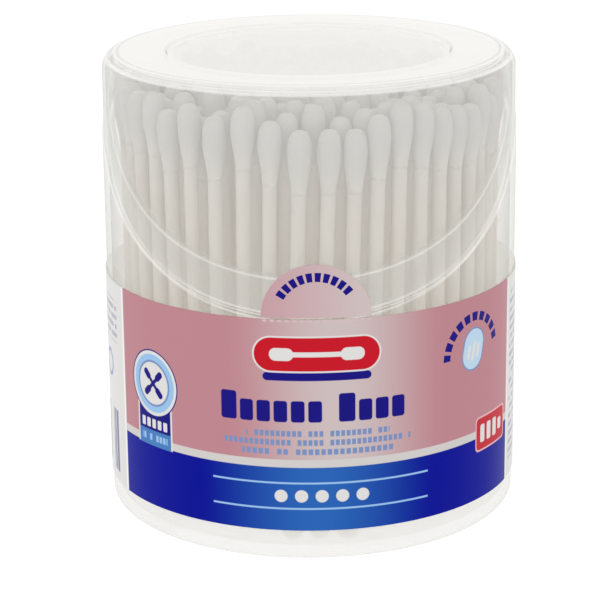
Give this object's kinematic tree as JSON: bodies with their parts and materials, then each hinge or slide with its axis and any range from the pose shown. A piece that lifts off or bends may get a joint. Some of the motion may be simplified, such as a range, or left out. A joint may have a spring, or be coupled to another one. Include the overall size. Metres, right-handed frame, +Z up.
{
  "type": "cotton swab tub",
  "caption": "Round clear plastic tub filled with cotton swabs, with a slanted clear lid hinged at the back, a wrap label and a half-disc seal over the seam.",
  "frame": {"origin": "centre of the tub's flat underside, on the tub's axis", "axes": "+Z up along the tub's axis, -Y the front where the lid's edge dips lowest, +Y the back with the hinge, hinge axis along X"},
  "size_m": [0.076, 0.081, 0.0846],
  "materials": {
    "clear_tub": "clear moulded, glossy",
    "clear_lid": "clear moulded, glossy",
    "label_print": "printed film, satin gloss",
    "seal_print": "printed film, satin gloss",
    "cotton": "soft wound cotton",
    "paper_stick": "matt rolled paper"
  },
  "bodies": {
    "tub_body": {"tub": "clear_tub", "label": "label_print", "sticks_ring_1": "paper_stick", "upper_buds_ring_1": "cotton", "lower_buds_ring_1": "cotton", "sticks_ring_2": "paper_stick", "upper_buds_ring_2": "cotton", "lower_buds_ring_2": "cotton", "sticks_ring_3": "paper_stick", "upper_buds_ring_3": "cotton", "lower_buds_ring_3": "cotton", "sticks_ring_4": "paper_stick", "upper_buds_ring_4": "cotton", "lower_buds_ring_4": "cotton", "sticks_ring_5": "paper_stick", "upper_buds_ring_5": "cotton", "lower_buds_ring_5": "cotton", "sticks_ring_6": "paper_stick", "upper_buds_ring_6": "cotton", "lower_buds_ring_6": "cotton", "sticks_ring_7": "paper_stick", "upper_buds_ring_7": "cotton", "lower_buds_ring_7": "cotton", "sticks_ring_8": "paper_stick", "upper_buds_ring_8": "cotton", "lower_buds_ring_8": "cotton"},
    "lid_body": {"lid": "clear_lid", "safety_seal": "seal_print"}
  },
  "joints": [
    {"name": "lid_hinge", "type": "hinge", "parent": "tub_body", "child": "lid_body", "pos_m": [0, 0.04084, 0.073], "axis": [-1, 0, 0], "range_deg": [0, 110]}
  ]
}
